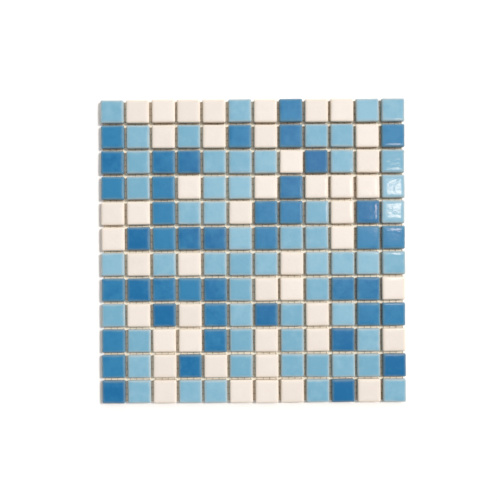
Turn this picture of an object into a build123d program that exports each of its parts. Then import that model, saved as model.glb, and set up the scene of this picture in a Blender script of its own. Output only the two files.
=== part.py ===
from build123d import *
import math
import os
import random

# A sheet of pool mosaic: square cushion-edged ceramic chips in three glazes, laid in rows with open
# joints on a net of glass-fibre strands. It lies face up, with its origin at the middle of the sheet
# on the underside of the net, +X along the rows and +Y up the columns. Millimetres and degrees.

# Chip
chip_side = 23.0          # across its widest part
chip_thickness = 5.0      # from the back to the glazed face
cushion_radius = 1.8      # rounding that runs from the face down into the sides
cushion_facets = 3        # flats that follow that rounding
corner_cut = 1.5          # leg of the flat across each upright corner
press_draft = 0.3         # how far each side draws in from its widest part to the back

# Sheet
joint_width = 2.0         # between neighbouring chips at their widest part
chip_stray = 0.25         # how far a chip may lie off its place in the grid, along X and along Y
chip_turn = 0.5           # how far a chip may lie turned, degrees
laying_seed = 4           # fixes which way each chip strays

# Backing net
strands_per_chip = 4      # strands that pass under one chip, each way
strand_width = 0.9
strand_thickness = 0.25   # of each of the net's two layers
net_margin = 1.0          # the net stops this far inside the outer chips' edges

# Which glaze each chip has, row by row from the top of the sheet: white, light blue or deep blue
laying_chart = [
    "LWWWWLWDWWLL",
    "DLWLWDWDLLWD",
    "DLDDLLLWDLWL",
    "DLDWLLWDWWWL",
    "WWDLLWDDLWDL",
    "WDDDDLDLLWDD",
    "LWLWLLLWLLLL",
    "DDDDDLWWLDDW",
    "LWDWDLDLWLDD",
    "DLWWDLWLWDLW",
    "DLWDWLWLLLLD",
    "DLWLLWWWLDWL",
]
glaze_nodes = {"W": "white_chips", "L": "light_blue_chips", "D": "deep_blue_chips"}

# Sizes that follow from those
rows = len(laying_chart)
columns = len(laying_chart[0])
pitch = chip_side + joint_width
strand_spacing = pitch / strands_per_chip
net_thickness = 2 * strand_thickness


def centred(count, spacing):
    """Places of a row of things about the middle of the sheet."""
    return [(index - (count - 1) / 2) * spacing for index in range(count)]


def chip_section(across):
    """Upright section of a chip: back, drafted side, faceted cushion edge and flat face."""
    half = across / 2
    spring = chip_thickness - cushion_radius
    side = [(half - press_draft, 0)]
    for facet in range(cushion_facets + 1):
        angle = math.pi / 2 * facet / cushion_facets
        inset = cushion_radius * (1 - math.cos(angle))
        side.append((half - inset, spring + cushion_radius * math.sin(angle)))
    far_side = [(-x, z) for x, z in reversed(side)]
    return Plane.XZ * make_face(Polyline(*side, *far_side, close=True))


def make_chip():
    """One chip, standing on its back: its section run through along and across, and over both corners."""
    across_corners = math.sqrt(2) * (chip_side - corner_cut)
    square_bar = extrude(chip_section(chip_side), chip_side, both=True)
    corner_bar = extrude(chip_section(across_corners), chip_side, both=True)
    chip = square_bar & Rotation(0, 0, 90) * square_bar
    for turn in (45, 135):
        chip = chip & Rotation(0, 0, turn) * corner_bar
    return chip


def lay_chips():
    """The chips of each glaze, each on the net near its place in the grid."""
    chip = make_chip()
    stray = random.Random(laying_seed)
    chips = {node: [] for node in glaze_nodes.values()}
    for y, line in zip(reversed(centred(rows, pitch)), laying_chart):
        for x, letter in zip(centred(columns, pitch), line):
            place = Location(
                (
                    x + stray.uniform(-chip_stray, chip_stray),
                    y + stray.uniform(-chip_stray, chip_stray),
                    net_thickness,
                ),
                (0, 0, stray.uniform(-chip_turn, chip_turn)),
            )
            chips[glaze_nodes[letter]].append(place * chip)
    return chips


def lay_strands():
    """The net: strands along X underneath, and strands along Y on top of them."""
    on_floor = (Align.CENTER, Align.CENTER, Align.MIN)
    net_length = columns * pitch - joint_width - 2 * net_margin
    net_height = rows * pitch - joint_width - 2 * net_margin
    warp = Box(net_length, strand_width, strand_thickness, align=on_floor)
    weft = Box(strand_width, net_height, strand_thickness, align=on_floor)
    warp_places = centred(rows * strands_per_chip, strand_spacing)
    weft_places = centred(columns * strands_per_chip, strand_spacing)
    return {
        "net_warp_strands": [Pos(0, y, 0) * warp for y in warp_places],
        "net_weft_strands": [Pos(x, 0, strand_thickness) * weft for x in weft_places],
    }


os.makedirs("parts", exist_ok=True)
for node, pieces in {**lay_chips(), **lay_strands()}.items():
    export_step(Compound(children=pieces, label=node), f"parts/{node}.step")
    print(node, len(pieces), "pieces")
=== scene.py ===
import bpy
import bmesh
import math
from mathutils import Euler, Matrix, Vector


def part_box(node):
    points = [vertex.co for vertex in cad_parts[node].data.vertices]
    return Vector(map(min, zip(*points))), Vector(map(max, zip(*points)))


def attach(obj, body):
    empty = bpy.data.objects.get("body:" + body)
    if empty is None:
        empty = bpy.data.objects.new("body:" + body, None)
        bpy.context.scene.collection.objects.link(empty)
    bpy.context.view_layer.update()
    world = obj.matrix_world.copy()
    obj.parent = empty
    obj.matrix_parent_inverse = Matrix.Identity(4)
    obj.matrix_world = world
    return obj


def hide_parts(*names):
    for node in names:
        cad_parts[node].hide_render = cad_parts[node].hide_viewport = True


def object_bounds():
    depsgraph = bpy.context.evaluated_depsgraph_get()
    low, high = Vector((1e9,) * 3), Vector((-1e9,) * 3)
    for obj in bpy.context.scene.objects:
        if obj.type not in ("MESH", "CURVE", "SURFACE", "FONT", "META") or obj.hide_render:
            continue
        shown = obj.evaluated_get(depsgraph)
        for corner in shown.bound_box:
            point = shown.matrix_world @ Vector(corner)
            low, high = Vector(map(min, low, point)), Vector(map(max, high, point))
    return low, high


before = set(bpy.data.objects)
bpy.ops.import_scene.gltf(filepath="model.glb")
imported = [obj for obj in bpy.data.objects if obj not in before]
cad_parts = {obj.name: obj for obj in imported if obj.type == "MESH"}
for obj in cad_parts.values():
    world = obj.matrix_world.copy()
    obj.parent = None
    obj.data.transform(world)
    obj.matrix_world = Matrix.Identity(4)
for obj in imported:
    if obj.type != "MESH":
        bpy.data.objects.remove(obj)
cadLow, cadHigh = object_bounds()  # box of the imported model
mm = 0.001
print("frame: box of the packed model, mm", [round(c / mm, 2) for c in (*cadLow, *cadHigh)])


# small helpers for node trees

def addNode(tree, kind, inputs=None, **settings):
    node = tree.nodes.new(kind)
    for name, value in settings.items():
        setattr(node, name, value)
    for key, value in (inputs or {}).items():
        if isinstance(value, bpy.types.NodeSocket):
            tree.links.new(value, node.inputs[key])
        else:
            node.inputs[key].default_value = value
    return node


def calc(tree, operation, a, b=0.0, c=0.0):
    return addNode(tree, "ShaderNodeMath", {0: a, 1: b, 2: c}, operation=operation).outputs[0]


def vectorCalc(tree, operation, a, b=(0, 0, 0), scale=None):
    inputs = {0: a, 1: b}
    if scale is not None:
        inputs["Scale"] = scale
    return addNode(tree, "ShaderNodeVectorMath", inputs, operation=operation).outputs[0]


def combine(tree, x=0.0, y=0.0, z=0.0):
    return addNode(tree, "ShaderNodeCombineXYZ", {0: x, 1: y, 2: z}).outputs[0]


def separate(tree, vector):
    return addNode(tree, "ShaderNodeSeparateXYZ", {0: vector}).outputs


def ramp(tree, value, low, high, toLow=0.0, toHigh=1.0, kind="SMOOTHSTEP"):
    inputs = {0: value, 1: low, 2: high, 3: toLow, 4: toHigh}
    return addNode(tree, "ShaderNodeMapRange", inputs, interpolation_type=kind).outputs[0]


def mixColour(tree, factor, a, b):
    return addNode(tree, "ShaderNodeMix", {0: factor, 6: a, 7: b}, data_type="RGBA").outputs[2]


def rgba(colour):
    return (*colour, 1.0)


def noise(tree, coords, scale, detail=2.0, roughness=0.5):
    inputs = {"Vector": coords, "Scale": scale, "Detail": detail, "Roughness": roughness}
    return addNode(tree, "ShaderNodeTexNoise", inputs)


def aboutZero(tree, value):
    return calc(tree, "SUBTRACT", value, 0.5)  # noise runs from 0 to 1


def newMaterial(name):
    material = bpy.data.materials.new(name)
    material.use_nodes = True
    tree = material.node_tree
    tree.nodes.clear()
    shader = addNode(tree, "ShaderNodeBsdfPrincipled")
    addNode(tree, "ShaderNodeOutputMaterial", {"Surface": shader.outputs[0]})
    return material, tree, shader


def objectCoords(tree):
    return addNode(tree, "ShaderNodeTexCoord").outputs["Object"]


def paintAttribute(tree, name, output="Fac"):
    return addNode(tree, "ShaderNodeAttribute", attribute_name=name).outputs[output]


# helpers for Geometry Nodes

randomSockets = {"FLOAT_VECTOR": (0, 1, 0), "FLOAT": (2, 3, 1), "INT": (4, 5, 2)}  # lowest, highest, result


def newTree(name, sockets):
    tree = bpy.data.node_groups.new(name, "GeometryNodeTree")
    tree.interface.new_socket("Geometry", in_out="INPUT", socket_type="NodeSocketGeometry")
    for label, kind in sockets:
        tree.interface.new_socket(label, in_out="INPUT", socket_type="NodeSocket" + kind)
    tree.interface.new_socket("Geometry", in_out="OUTPUT", socket_type="NodeSocketGeometry")
    return tree, tree.nodes.new("NodeGroupInput").outputs


def endTree(tree, geometry):
    tree.links.new(geometry, tree.nodes.new("NodeGroupOutput").inputs[0])


def shapeNode(tree, kind, inputs=None, **settings):
    return addNode(tree, "GeometryNode" + kind, inputs, **settings).outputs[0]


def readAttribute(tree, name, kind="FLOAT"):
    return shapeNode(tree, "InputNamedAttribute", {"Name": name}, data_type=kind)


def storeAttribute(tree, geometry, name, value, domain, kind="FLOAT"):
    inputs = {"Geometry": geometry, "Name": name, "Value": value}
    return shapeNode(tree, "StoreNamedAttribute", inputs, data_type=kind, domain=domain)


def randomValue(tree, low, high, seed, kind="FLOAT"):
    lowest, highest, result = randomSockets[kind]
    inputs = {lowest: low, highest: high, "Seed": seed}
    return addNode(tree, "FunctionNodeRandomValue", inputs, data_type=kind).outputs[result]


def growPiece(name, mesh, tree, values):
    # run the tree on a mesh and keep what it makes as a plain mesh at the origin
    source = bpy.data.objects.new(name + "Source", mesh)
    bpy.context.scene.collection.objects.link(source)
    modifier = source.modifiers.new("grow", "NODES")
    modifier.node_group = tree
    for item in tree.interface.items_tree:
        if item.in_out == "INPUT" and item.name in values:
            modifier[item.identifier] = values[item.name]
    graph = bpy.context.evaluated_depsgraph_get()
    made = bpy.data.meshes.new_from_object(
        source.evaluated_get(graph), preserve_all_data_layers=True, depsgraph=graph)
    source.modifiers.clear()
    bpy.data.objects.remove(source)
    piece = bpy.data.objects.new(name, made)
    made.name = name
    bpy.context.scene.collection.objects.link(piece)
    made.calc_loop_triangles()
    print("piece:", name, len(made.loop_triangles), "triangles")
    return piece


def dress(piece, node):
    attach(piece, "root")
    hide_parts(node)


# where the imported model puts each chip

glazes = {
    "whiteChips": "white_chips",
    "lightBlueChips": "light_blue_chips",
    "deepBlueChips": "deep_blue_chips",
}
weldDistance = 0.001 * mm
faceTolerance = 0.01 * mm
rowDecimals = 2  # of a metre, which tells the rows apart


def looseParts(mesh):
    solid = bmesh.new()
    solid.from_mesh(mesh)
    bmesh.ops.remove_doubles(solid, verts=solid.verts, dist=weldDistance)
    seen = set()
    parts = []
    for start in solid.verts:
        if start in seen:
            continue
        seen.add(start)
        island = [start]
        for vert in island:  # it grows while it is walked
            for edge in vert.link_edges:
                other = edge.other_vert(vert)
                if other not in seen:
                    seen.add(other)
                    island.append(other)
        parts.append([vert.co.copy() for vert in island])
    solid.free()
    return parts


def measureChip(points):
    centre = sum(points, Vector()) / len(points)
    back = min(p.z for p in points)
    top = max(p.z for p in points)
    face = [p - centre for p in points if p.z > top - faceTolerance]
    # four times a corner's bearing comes out alike for all the corners of a square
    bearings = [4 * math.atan2(p.y, p.x) for p in face]
    turn = math.atan2(-sum(map(math.sin, bearings)), -sum(map(math.cos, bearings))) / 4
    unturn = Matrix.Rotation(-turn, 3, "Z")
    half = max((unturn @ (p - centre)).x for p in points)
    return {"place": Vector((centre.x, centre.y, back)), "turn": turn, "half": half, "top": top}


def readChips(node):
    chips = [measureChip(points) for points in looseParts(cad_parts[node].data)]
    chips.sort(key=lambda chip: (round(chip["place"].y, rowDecimals), chip["place"].x))
    return chips


chipsOf = {piece: readChips(node) for piece, node in glazes.items()}
firstChip = chipsOf["whiteChips"][0]
chipBack, chipTop = firstChip["place"].z, firstChip["top"]
print("chips read:", {piece: len(chips) for piece, chips in chipsOf.items()})


# one pressed chip: drafted sides, rolled-over edge, slightly pillowed face, grooved back

chipLook = {
    "shrink": 0.07 * mm,  # firing leaves it this much inside the solid's sides
    "cornerRadius": 1.6 * mm,  # seen from above
    "innerCorner": 1.0 * mm,  # the same on the face
    "innerShare": 0.8,  # and at most this share of a small ring's half width
    "rollRadius": 1.8 * mm,
    "rollSteps": 6,
    "pillowSlope": math.radians(6.5),  # where the roll meets the face
    "pillowReach": 4.5 * mm,  # how far in the face still falls away
    "pillowRings": (0.22, 0.5, 0.75, 1.0),  # shares of the way from the roll to there
    "faceRings": (0.3, 0.6, 0.85),  # and from there to the middle
    "draft": 0.3 * mm,
    "backChamfer": 0.35 * mm,
    "backRim": 2.2 * mm,  # flat margin round the grooves in the back
    "grooves": 5,  # pressed into the back, where the bed keys in
    "grooveDepth": 0.5 * mm,
    "grooveTaper": 0.2 * mm,
    "cornerSteps": 5,
    "edgeSteps": 6,
    "thinGlaze": 3.4 * mm,  # band along the edge where the glaze runs thin
    "sideThin": 0.1,  # share of that thinning left on the sides
    "tilt": math.radians(0.35),
    "sizeSpread": 0.006,
    "edgeWander": 0.16 * mm,
    "wanderScale": 95.0,  # noise cells to a metre
    "faceRipple": 0.05 * mm,
    "rippleScale": 130.0,
}


def ringPoints(half, corner, height):
    points = []
    steps, parts = chipLook["cornerSteps"], chipLook["edgeSteps"]
    reach = half - corner
    for side in range(4):
        spin = Matrix.Rotation(side * math.pi / 2, 3, "Z")
        for step in range(steps + 1):
            angle = math.pi / 2 * step / steps
            point = Vector((reach + corner * math.cos(angle), reach + corner * math.sin(angle), height))
            points.append(spin @ point)
        for part in range(1, parts):
            points.append(spin @ Vector((reach - 2 * reach * part / parts, half, height)))
    return points


def chipProfile(half, thickness):
    # (inset from the side, height above the back): up the side, then over the edge to the middle
    look = chipLook
    radius, reach = look["rollRadius"], look["pillowReach"]
    lastAngle = math.pi / 2 - look["pillowSlope"]
    rollEnd = radius * (1 - math.cos(lastAngle))
    fall = math.tan(look["pillowSlope"]) * (reach - rollEnd) / 2
    spring = thickness - fall - radius * math.sin(lastAngle)
    side = [
        (look["draft"] + look["backChamfer"], 0.0),
        (look["draft"], look["backChamfer"]),
        (look["draft"] / 2, spring / 2),
        (0.0, spring),
    ]
    over = []
    for step in range(1, look["rollSteps"] + 1):
        angle = lastAngle * step / look["rollSteps"]
        over.append((radius * (1 - math.cos(angle)), spring + radius * math.sin(angle)))
    for share in look["pillowRings"]:
        over.append((rollEnd + share * (reach - rollEnd), thickness - fall * (1 - share) ** 2))
    for share in look["faceRings"]:
        over.append((reach + share * (half - reach), thickness))
    return side, over


def pressBack(chip, outline):
    # close the back with a flat that has straight grooves sunk into it
    look = chipLook
    reach = max(vert.co.x for vert in outline) - look["backRim"]
    width = 2 * reach / (2 * look["grooves"] - 1)
    rims = [outline]
    for number in range(look["grooves"]):
        left = 2 * number * width - reach
        mouth, floor = [], []
        for x, y in ((0, -1), (1, -1), (1, 1), (0, 1)):
            spot = Vector((left + x * width, y * reach, 0))
            inward = Vector((1 - 2 * x, -y, 0)) * look["grooveTaper"]
            mouth.append(chip.verts.new(spot))
            floor.append(chip.verts.new(spot + inward + Vector((0, 0, look["grooveDepth"]))))
        for i in range(4):
            k = (i + 1) % 4
            chip.faces.new((mouth[i], mouth[k], floor[k], floor[i]))
        chip.faces.new(floor)
        rims += [mouth, floor]
    creases = [chip.edges.get((rim[i - 1], rim[i])) for rim in rims for i in range(len(rim))]
    for edge in creases:
        edge.smooth = False
    openEdges = [edge for edge in creases if len(edge.link_faces) == 1]
    bmesh.ops.triangle_fill(chip, use_beauty=True, edges=openEdges)


def chipMesh():
    look = chipLook
    half = firstChip["half"] - look["shrink"]
    thickness = chipTop - chipBack - look["faceRipple"] * 2  # leaves room for the ripple
    side, over = chipProfile(half, thickness)
    chip = bmesh.new()
    edgeBand = chip.verts.layers.float.new("edgeBand")
    faceBand = chip.verts.layers.float.new("faceBand")
    rings = []
    for number, (inset, height) in enumerate(side + over):
        corner = max(look["cornerRadius"] - inset / 2, look["innerCorner"])
        corner = min(corner, (half - inset) * look["innerShare"])
        ring = [chip.verts.new(p) for p in ringPoints(half - inset, corner, height)]
        onSide = number < len(side)
        for vert in ring:
            vert[edgeBand] = look["sideThin"] if onSide else max(0.0, 1 - inset / look["thinGlaze"])
            vert[faceBand] = 0.0 if onSide else min(1.0, inset / look["pillowReach"])
        rings.append(ring)
    for lower, upper in zip(rings, rings[1:]):
        for i in range(len(lower)):
            k = (i + 1) % len(lower)
            chip.faces.new((lower[i], lower[k], upper[k], upper[i]))
    chip.faces.new(rings[-1])
    pressBack(chip, rings[0])
    bmesh.ops.triangulate(chip, faces=[f for f in chip.faces if len(f.verts) > 4])
    bmesh.ops.recalc_face_normals(chip, faces=chip.faces)
    mesh = bpy.data.meshes.new("chip")
    chip.to_mesh(mesh)
    chip.free()
    return mesh


def chipTree():
    tree, given = newTree("layChips", [
        ("Chip", "Object"), ("Glaze", "Material"), ("Tilt", "Float"), ("Size spread", "Float"),
        ("Edge wander", "Float"), ("Wander scale", "Float"), ("Face ripple", "Float"),
        ("Ripple scale", "Float"), ("Seed", "Int")])

    def draw(number, low, high, kind="FLOAT"):
        # each draw has a number of its own, which is added to the seed
        return randomValue(tree, low, high, calc(tree, "ADD", given["Seed"], number), kind)

    # each chip lies on its own spot, leaning a little and turned some quarters round
    chip = addNode(tree, "GeometryNodeObjectInfo", {"Object": given["Chip"]}).outputs["Geometry"]
    leanBack = calc(tree, "MULTIPLY", given["Tilt"], -1)
    leanX = draw(1, leanBack, given["Tilt"])
    leanY = draw(2, leanBack, given["Tilt"])
    quarters = calc(tree, "MULTIPLY", draw(3, 0, 3, "INT"), math.pi / 2)
    spin = calc(tree, "ADD", quarters, readAttribute(tree, "turn"))
    angles = combine(tree, leanX, leanY, spin)
    rotation = addNode(tree, "FunctionNodeEulerToRotation", {0: angles}).outputs[0]
    smallest = calc(tree, "SUBTRACT", 1.0, given["Size spread"])
    scale = combine(tree, draw(4, smallest, 1.0), draw(5, smallest, 1.0), 1.0)
    laid = shapeNode(tree, "InstanceOnPoints", {
        "Points": given["Geometry"], "Instance": chip, "Rotation": rotation, "Scale": scale})
    tone = draw(6, 0.0, 1.0)
    shift = draw(7, (-1, -1, -1), (1, 1, 1), "FLOAT_VECTOR")
    laid = storeAttribute(tree, laid, "chipTone", tone, "INSTANCE")
    laid = storeAttribute(tree, laid, "chipShift", shift, "INSTANCE", "FLOAT_VECTOR")
    laid = shapeNode(tree, "RealizeInstances", {"Geometry": laid})
    # no two chips have quite the same outline or the same face
    place = shapeNode(tree, "InputPosition")
    spot = vectorCalc(tree, "ADD", place, readAttribute(tree, "chipShift", "FLOAT_VECTOR"))
    bend = noise(tree, spot, given["Wander scale"], detail=1.0).outputs["Color"]
    bend = vectorCalc(tree, "SUBTRACT", bend, (0.5, 0.5, 0.5))
    bend = vectorCalc(tree, "MULTIPLY", bend, (1, 1, 0))  # sideways only
    reach = calc(tree, "MULTIPLY", readAttribute(tree, "edgeBand"), given["Edge wander"])
    bend = vectorCalc(tree, "SCALE", bend, scale=reach)
    swell = aboutZero(tree, noise(tree, spot, given["Ripple scale"], detail=0.5).outputs[0])
    swell = calc(tree, "MULTIPLY", swell, readAttribute(tree, "faceBand"))
    swell = combine(tree, z=calc(tree, "MULTIPLY", swell, given["Face ripple"]))
    offset = vectorCalc(tree, "ADD", bend, swell)
    laid = shapeNode(tree, "SetPosition", {"Geometry": laid, "Offset": offset})
    laid = shapeNode(tree, "SetShadeSmooth", {"Geometry": laid})
    laid = shapeNode(tree, "SetMaterial", {"Geometry": laid, "Material": given["Glaze"]})
    endTree(tree, laid)
    return tree


# glaze over a buff body

glazeLook = {
    "whiteChips": {
        "deep": (0.800, 0.722, 0.652),
        "pale": (0.840, 0.762, 0.692),
        "thin": (0.80, 0.68, 0.53),  # along the rolled edge
        "thinShare": 0.5,
        "glazeLine": 2.8 * mm,  # how far above the chip's back the glaze ends
        "seed": 11,
    },
    "lightBlueChips": {
        "deep": (0.178, 0.400, 0.538),
        "pale": (0.262, 0.480, 0.606),
        "thin": (0.53, 0.51, 0.44),
        "thinShare": 0.55,
        "glazeLine": 1.0 * mm,
        "seed": 23,
    },
    "deepBlueChips": {
        "deep": (0.017, 0.144, 0.333),
        "pale": (0.040, 0.216, 0.411),
        "thin": (0.27, 0.33, 0.26),
        "thinShare": 0.45,
        "glazeLine": 0.9 * mm,
        "seed": 37,
    },
}
coatLook = {  # shared by the three glazes
    "cloudScale": 120.0,  # noise cells to a metre
    "toneCloud": 1.3,  # how much the cloud moves a chip's tone
    "edgeCloud": 0.5,  # and the thin band along its edge
    "edgeStart": 0.05,
    "roughness": 0.10,
    "ior": 1.52,
    "rippleScale": 330.0,
    "rippleStrength": 0.5,
    "rippleDepth": 0.2 * mm,
}
bodyLook = {
    "colour": (0.46, 0.31, 0.17),
    "dark": (0.34, 0.22, 0.11),
    "lineWander": 0.9 * mm,
    "lineBlur": 0.35 * mm,
    "roughness": 0.85,
    "grainScale": 1500.0,
    "poreStrength": 0.5,
    "poreDepth": 0.15 * mm,
}


def glazeMaterial(name, look):
    material, tree, shader = newMaterial(name + "Glaze")
    coords = objectCoords(tree)
    spot = vectorCalc(tree, "ADD", coords, paintAttribute(tree, "chipShift", "Vector"))
    cloud = noise(tree, spot, coatLook["cloudScale"], detail=3.0, roughness=0.6).outputs[0]
    cloud = aboutZero(tree, cloud)
    grain = noise(tree, spot, bodyLook["grainScale"]).outputs[0]
    # each chip has its own tone, clouded a little
    tone = calc(tree, "MULTIPLY_ADD", cloud, coatLook["toneCloud"], paintAttribute(tree, "chipTone"))
    glaze = mixColour(tree, ramp(tree, tone, 0.0, 1.0), rgba(look["deep"]), rgba(look["pale"]))
    # thin along the rolled edge
    band = calc(tree, "MULTIPLY_ADD", cloud, coatLook["edgeCloud"], paintAttribute(tree, "edgeBand"))
    band = ramp(tree, band, coatLook["edgeStart"], 1.0, 0.0, look["thinShare"])
    glaze = mixColour(tree, band, glaze, rgba(look["thin"]))
    # bare body below the glaze line
    line, blur = look["glazeLine"], bodyLook["lineBlur"]
    height = calc(tree, "SUBTRACT", separate(tree, coords)[2], chipBack)
    wave = calc(tree, "MULTIPLY_ADD", cloud, bodyLook["lineWander"] * 2 / line, 1.0)
    bare = ramp(tree, calc(tree, "MULTIPLY", height, wave), line + blur, line - blur)
    body = mixColour(tree, grain, rgba(bodyLook["dark"]), rgba(bodyLook["colour"]))
    colour = mixColour(tree, bare, glaze, body)
    rough = ramp(tree, bare, 0.0, 1.0, coatLook["roughness"], bodyLook["roughness"])
    # a rippled coat, and pores where the body is bare
    ripple = addNode(tree, "ShaderNodeBump", {
        "Height": noise(tree, spot, coatLook["rippleScale"], detail=1.5).outputs[0],
        "Strength": coatLook["rippleStrength"], "Distance": coatLook["rippleDepth"]}).outputs[0]
    pores = addNode(tree, "ShaderNodeBump", {
        "Height": calc(tree, "MULTIPLY", grain, bare), "Normal": ripple,
        "Strength": bodyLook["poreStrength"], "Distance": bodyLook["poreDepth"]}).outputs[0]
    tree.links.new(colour, shader.inputs["Base Color"])
    tree.links.new(rough, shader.inputs["Roughness"])
    tree.links.new(pores, shader.inputs["Normal"])
    shader.inputs["IOR"].default_value = coatLook["ior"]
    return material


chipSource = bpy.data.objects.new("chipSource", chipMesh())
layTree = chipTree()
for name, node in glazes.items():
    spots = bpy.data.meshes.new(name + "Spots")
    spots.from_pydata([chip["place"] for chip in chipsOf[name]], [], [])
    turns = spots.attributes.new("turn", "FLOAT", "POINT")
    turns.data.foreach_set("value", [chip["turn"] for chip in chipsOf[name]])
    piece = growPiece(name, spots, layTree, {
        "Chip": chipSource, "Glaze": glazeMaterial(name, glazeLook[name]), "Tilt": chipLook["tilt"],
        "Size spread": chipLook["sizeSpread"], "Edge wander": chipLook["edgeWander"],
        "Wander scale": chipLook["wanderScale"], "Face ripple": chipLook["faceRipple"],
        "Ripple scale": chipLook["rippleScale"], "Seed": glazeLook[name]["seed"]})
    dress(piece, node)
bpy.data.objects.remove(chipSource)


# net: flat strands of glass fibre, woven over and under

netLook = {
    "strandWidth": 0.9 * mm,
    "strandThickness": 0.22 * mm,
    "weave": 0.12 * mm,  # how far a strand swings up and down
    "wander": 0.3 * mm,  # and sideways
    "wanderScale": 40.0,  # noise cells to a metre along a strand
    "strandStep": 3.7,  # noise cells from one strand to the next
    "seed": 3.0,
    "steps": 4,  # points from one crossing to the next
    "sides": 8,
    "colour": (0.78, 0.70, 0.56),
    "shade": (0.60, 0.52, 0.38),
    "shadeRange": (0.3, 0.8),
    "threadScale": 9000.0,  # noise cells to a metre across a strand
    "threadShare": 0.6,
    "threadStrength": 0.6,
    "threadDepth": 0.05 * mm,
    "blotchScale": 180.0,
    "blotchShare": 0.5,
    "blotchRange": (0.3, 0.7),
    "roughness": (0.45, 0.7),
}


def netTree():
    tree, given = newTree("weaveStrands", [
        ("Strands", "Int"), ("Spacing", "Float"), ("Length", "Float"), ("Points", "Int"), ("Width", "Float"),
        ("Thickness", "Float"), ("Weave", "Float"), ("Wander", "Float"), ("Wander scale", "Float"),
        ("Strand step", "Float"), ("Phase", "Float"), ("Height", "Float"), ("Turn", "Float"),
        ("Sides", "Int"), ("Seed", "Float"), ("Fibre", "Material")])
    # straight strands side by side
    halfLength = calc(tree, "DIVIDE", given["Length"], 2.0)
    start = combine(tree, calc(tree, "MULTIPLY", halfLength, -1.0))
    line = shapeNode(tree, "CurvePrimitiveLine", {"Start": start, "End": combine(tree, halfLength)})
    line = shapeNode(tree, "ResampleCurve", {"Curve": line, "Count": given["Points"]})
    halfCount = calc(tree, "DIVIDE", calc(tree, "SUBTRACT", given["Strands"], 1.0), 2.0)
    first = calc(tree, "MULTIPLY", calc(tree, "MULTIPLY", halfCount, given["Spacing"]), -1.0)
    row = shapeNode(tree, "MeshLine", {
        "Count": given["Strands"], "Start Location": combine(tree, y=first),
        "Offset": combine(tree, y=given["Spacing"])}, mode="OFFSET")
    net = shapeNode(tree, "InstanceOnPoints", {"Points": row, "Instance": line})
    net = storeAttribute(tree, net, "strand", shapeNode(tree, "InputIndex"), "INSTANCE")
    net = shapeNode(tree, "RealizeInstances", {"Geometry": net})
    # over one crossing and under the next, with some sideways wander
    strand = readAttribute(tree, "strand")
    along = separate(tree, shapeNode(tree, "InputPosition"))[0]
    crossing = calc(tree, "ADD", calc(tree, "DIVIDE", along, given["Spacing"]), halfCount)
    swing = calc(tree, "ADD", calc(tree, "ADD", crossing, strand), given["Phase"])
    rise = calc(tree, "COSINE", calc(tree, "MULTIPLY", swing, math.pi))
    rise = calc(tree, "MULTIPLY", rise, given["Weave"])
    where = combine(tree, calc(tree, "MULTIPLY", along, given["Wander scale"]),
                    calc(tree, "MULTIPLY", strand, given["Strand step"]), given["Seed"])
    stray = aboutZero(tree, noise(tree, where, 1.0, detail=1.0).outputs[0])
    stray = calc(tree, "MULTIPLY", stray, calc(tree, "MULTIPLY", given["Wander"], 2.0))
    offset = combine(tree, y=stray, z=calc(tree, "ADD", rise, given["Height"]))
    net = shapeNode(tree, "SetPosition", {"Geometry": net, "Offset": offset})
    net = shapeNode(tree, "SetCurveNormal", {"Curve": net}, mode="Z_UP")
    # flat oval section, from a circle one across
    section = shapeNode(tree, "CurvePrimitiveCircle", {"Resolution": given["Sides"], "Radius": 0.5})
    flat = combine(tree, given["Width"], given["Thickness"], 1.0)
    section = shapeNode(tree, "Transform", {"Geometry": section, "Scale": flat})
    across = separate(tree, shapeNode(tree, "InputPosition"))[0]
    section = storeAttribute(tree, section, "across", across, "POINT")
    net = shapeNode(tree, "CurveToMesh", {"Curve": net, "Profile Curve": section, "Fill Caps": True})
    net = shapeNode(tree, "Transform", {"Geometry": net, "Rotation": combine(tree, z=given["Turn"])})
    net = shapeNode(tree, "SetShadeSmooth", {"Geometry": net})
    net = shapeNode(tree, "SetMaterial", {"Geometry": net, "Material": given["Fibre"]})
    endTree(tree, net)
    return tree


def fibreMaterial():
    look = netLook
    material, tree, shader = newMaterial("glassFibre")
    across = calc(tree, "MULTIPLY", paintAttribute(tree, "across"), look["threadScale"])
    lay = combine(tree, across, paintAttribute(tree, "strand"))
    threads = noise(tree, lay, 1.0, roughness=0.7).outputs[0]
    blotch = noise(tree, objectCoords(tree), look["blotchScale"], detail=3.0, roughness=0.6).outputs[0]
    level = calc(tree, "MULTIPLY", blotch, look["blotchShare"])
    level = calc(tree, "MULTIPLY_ADD", threads, look["threadShare"], level)
    level = ramp(tree, level, *look["shadeRange"])
    colour = mixColour(tree, level, rgba(look["shade"]), rgba(look["colour"]))
    rough = ramp(tree, blotch, *look["blotchRange"], *look["roughness"])
    bump = addNode(tree, "ShaderNodeBump", {
        "Height": threads, "Strength": look["threadStrength"], "Distance": look["threadDepth"]})
    tree.links.new(colour, shader.inputs["Base Color"])
    tree.links.new(rough, shader.inputs["Roughness"])
    tree.links.new(bump.outputs[0], shader.inputs["Normal"])
    return material


sideDecimals = 3  # of a millimetre, so that each side of a strand counts once


def strandSides(node, axis):
    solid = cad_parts[node].data
    return sorted({round(v.co[axis] / mm, sideDecimals) for v in solid.vertices})


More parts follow.
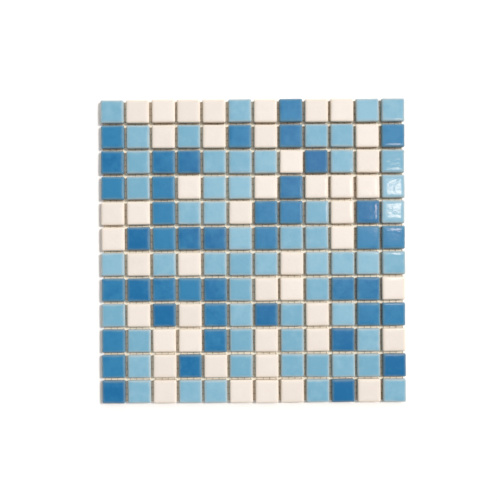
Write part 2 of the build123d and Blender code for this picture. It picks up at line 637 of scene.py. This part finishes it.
nets = {  # node, axis that its strands are spaced along, turn from strands along X
    "netWarp": ("net_warp_strands", 1, 0.0),
    "netWeft": ("net_weft_strands", 0, -math.pi / 2),
}
weaveTree = netTree()
fibre = fibreMaterial()
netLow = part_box("net_warp_strands")[0].z
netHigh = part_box("net_weft_strands")[1].z
for name, (node, axis, turn) in nets.items():
    sides = strandSides(node, axis)
    strands = len(sides) // 2
    spacing = (sides[-1] - sides[1]) / (strands - 1) * mm
    low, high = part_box(node)
    length = high[1 - axis] - low[1 - axis]
    piece = growPiece(name, bpy.data.meshes.new(name), weaveTree, {
        "Strands": strands, "Spacing": spacing, "Length": length, "Points": strands * netLook["steps"] + 1,
        "Width": netLook["strandWidth"], "Thickness": netLook["strandThickness"], "Weave": netLook["weave"],
        "Wander": netLook["wander"], "Wander scale": netLook["wanderScale"],
        "Strand step": netLook["strandStep"], "Phase": float(axis), "Height": (netLow + netHigh) / 2,
        "Turn": turn, "Sides": netLook["sides"], "Seed": netLook["seed"] + axis, "Fibre": fibre})
    dress(piece, node)


# floor, and the cream paper under the sheet that shows in the open joints

floorLook = {
    "half": 4.0,
    "drop": 0.2 * mm,  # below the net
    "colour": (0.985, 0.955, 0.925),
    "shade": (0.97, 0.94, 0.91),
}
paperLook = {
    "inset": 2.0 * mm,  # the outer chips hide its edges
    "drop": 0.1 * mm,
    "colour": (0.985, 0.895, 0.74),
    "shade": (0.965, 0.87, 0.71),
}
stageLook = {  # shared by both
    "grainScale": 300.0,
    "roughness": 0.9,
    "specular": 0.1,
}


def layPaper(name, look, low, high):
    height = cadLow.z - look["drop"]
    mesh = bpy.data.meshes.new(name)
    corners = [(low.x, low.y), (high.x, low.y), (high.x, high.y), (low.x, high.y)]
    mesh.from_pydata([(x, y, height) for x, y in corners], [], [(0, 1, 2, 3)])
    material, tree, shader = newMaterial(name)
    grain = noise(tree, objectCoords(tree), stageLook["grainScale"], detail=3.0).outputs[0]
    colour = mixColour(tree, grain, rgba(look["shade"]), rgba(look["colour"]))
    tree.links.new(colour, shader.inputs["Base Color"])
    shader.inputs["Roughness"].default_value = stageLook["roughness"]
    shader.inputs["Specular IOR Level"].default_value = stageLook["specular"]
    mesh.materials.append(material)
    paper = bpy.data.objects.new(name, mesh)
    bpy.context.scene.collection.objects.link(paper)


floorCorner = Vector((floorLook["half"], floorLook["half"], 0))
paperMargin = Vector((paperLook["inset"], paperLook["inset"], 0))
layPaper("floor", floorLook, -floorCorner, floorCorner)
layPaper("creamPaper", paperLook, cadLow + paperMargin, cadHigh - paperMargin)


# camera: straight above, turned a little off square

cameraLook = {
    "imageWidth": 500,
    "pixelsPerMetre": 1022.6,  # at the chips' faces
    "height": 0.55,  # above the chips' faces
    "aim": (-3.2 * mm, 0.5 * mm),
    "roll": math.radians(-0.35),
    "clip": (0.01, 50.0),
}


def makeCamera():
    look = cameraLook
    data = bpy.data.cameras.new("camera")
    data.sensor_fit = "HORIZONTAL"
    data.lens = data.sensor_width * look["height"] * look["pixelsPerMetre"] / look["imageWidth"]
    data.clip_start, data.clip_end = look["clip"]
    camera = bpy.data.objects.new("camera", data)
    camera.location = (*look["aim"], chipTop + look["height"])
    camera.rotation_euler = (0, 0, look["roll"])
    bpy.context.scene.collection.objects.link(camera)
    bpy.context.scene.camera = camera


makeCamera()


# light: windows in a dim ceiling, pale walls, key, fill, soft boxes and a lamp mirrored in the glaze

lightLook = {
    "ceiling": 0.04,  # dim room overhead
    "windows": (  # side it is on, cosine where it has faded out, strength in its middle
        ((0.58, 0.41, 1.00), 0.68, 0.6),
        ((0.12, 0.12, 1.00), 0.93, 0.75),
        ((0.15, 1.00, 0.45), 0.60, 0.8),
    ),
    "windowFade": 2.0,  # higher draws it in to its middle
    "horizon": 1.0,  # pale walls all round
    "horizonRise": (0.14, 0.32),  # how far up they reach, as sines
    "keyFrom": (0.85, 0.37, 1.0),
    "keySpread": 0.18,  # radians across, for soft shadow edges
    "keyStrength": 2.40,
    "fillFrom": (0.12, 0.10, 1.0),  # overhead, into the joints
    "fillSpread": 0.5,
    "fillStrength": 0.35,
    "softBoxes": (  # bearing, angle up, radiance
        (48, 36, 1.5),
        (128, 36, 1.7),
        (218, 36, 1.2),
        (312, 36, 1.4),
    ),
    "boxDistance": 2.0,
    "boxSize": (0.9, 0.6),
    "boxColour": (1.0, 1.0, 1.0),
    "lampSpot": (0.150, 0.050),  # where the camera sees the lamp mirrored on the sheet
    "lampSpan": (0.036, 0.040),
    "lampHeight": 1.0,
    "lampRadiance": 14.0,
    "lampColour": (1.0, 0.77, 0.61),
}


def makeWorld():
    look = lightLook
    world = bpy.data.worlds.new("studio")
    world.use_nodes = True
    tree = world.node_tree
    tree.nodes.clear()
    direction = addNode(tree, "ShaderNodeTexCoord").outputs["Generated"]
    overhead = look["ceiling"]
    for side, edge, strength in look["windows"]:
        toward = Vector(side).normalized()
        facing = addNode(tree, "ShaderNodeVectorMath", {0: direction, 1: toward}, operation="DOT_PRODUCT")
        glow = ramp(tree, facing.outputs["Value"], edge, 1.0, kind="LINEAR")
        glow = calc(tree, "POWER", glow, look["windowFade"])
        overhead = calc(tree, "MULTIPLY_ADD", glow, strength, overhead)
    wall = ramp(tree, separate(tree, direction)[2], *look["horizonRise"], 1.0, 0.0)
    spare = calc(tree, "SUBTRACT", look["horizon"], overhead)
    strength = calc(tree, "MULTIPLY_ADD", wall, spare, overhead)
    sky = addNode(tree, "ShaderNodeBackground", {"Strength": strength})
    sky.inputs["Color"].default_value = (1.0, 1.0, 1.0, 1.0)
    addNode(tree, "ShaderNodeOutputWorld", {"Surface": sky.outputs[0]})
    bpy.context.scene.world = world


def addArea(name, place, size, radiance, colour, target):
    data = bpy.data.lights.new(name, "AREA")
    data.shape = "RECTANGLE"
    data.size, data.size_y = size
    data.energy = radiance * math.pi * size[0] * size[1]
    data.color = colour
    lamp = bpy.data.objects.new(name, data)
    lamp.location = place
    lamp.rotation_euler = (Vector(target) - Vector(place)).to_track_quat("-Z", "Y").to_euler()
    bpy.context.scene.collection.objects.link(lamp)


def addSun(name):
    data = bpy.data.lights.new(name, "SUN")
    data.energy, data.angle = lightLook[name + "Strength"], lightLook[name + "Spread"]
    sun = bpy.data.objects.new(name, data)
    sun.rotation_euler = (-Vector(lightLook[name + "From"])).to_track_quat("-Z", "Y").to_euler()
    sun.visible_glossy = False  # the glaze mirrors the windows, the soft boxes and the lamp
    bpy.context.scene.collection.objects.link(sun)


def addMirroredLamp():
    # as far past its spot on the sheet as the mirror image of the camera's ray takes it
    look = lightLook
    eye = Vector((*cameraLook["aim"], 0))
    reach = (look["lampHeight"] + cameraLook["height"]) / cameraLook["height"]
    place = eye + (Vector((*look["lampSpot"], 0)) - eye) * reach
    place.z = chipTop + look["lampHeight"]
    size = [span * reach for span in look["lampSpan"]]
    addArea("mirroredLamp", place, size, look["lampRadiance"], look["lampColour"], (place.x, place.y, 0))


def addSoftBoxes():
    look = lightLook
    for number, (bearing, up, radiance) in enumerate(look["softBoxes"]):
        spot = Vector((look["boxDistance"], 0, 0))
        spot.rotate(Euler((0, -math.radians(up), math.radians(bearing))))
        addArea(f"softBox{number}", spot, look["boxSize"], radiance, look["boxColour"], (0, 0, 0))


makeWorld()
addSun("key")
addSun("fill")
addMirroredLamp()
addSoftBoxes()
bpy.context.scene.view_settings.view_transform = "Standard"
print("camera, floor and light set")
